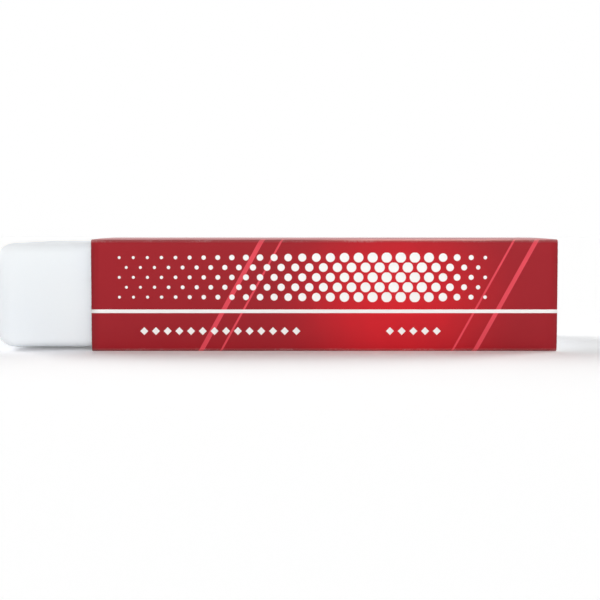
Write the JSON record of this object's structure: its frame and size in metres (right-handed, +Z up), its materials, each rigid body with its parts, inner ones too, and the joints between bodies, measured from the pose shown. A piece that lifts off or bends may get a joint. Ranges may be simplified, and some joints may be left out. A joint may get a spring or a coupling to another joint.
{
  "type": "block eraser in a card sleeve",
  "caption": "White rubber block eraser with softly rounded edges, held in a folded and glued red card sleeve that it slides through, with one end bare for rubbing out.",
  "frame": {"origin": "middle of the underside, on the surface that the sleeve lies on", "axes": "+X along the block, away from its bare end; -Y out of the narrow side that faces the viewer; +Z up, through the thickness of the block"},
  "size_m": [0.0652, 0.0252, 0.0129],
  "materials": {
    "white_rubber": "matte",
    "red_card": "satin"
  },
  "bodies": {
    "sleeve": {"card_sleeve": "red_card"},
    "block": {"eraser_block": "white_rubber"}
  },
  "joints": [
    {"name": "block_slide", "type": "slide", "parent": "sleeve", "child": "block", "axis": [-1, 0, 0], "range_m": [-0.0115, 0.03]}
  ]
}
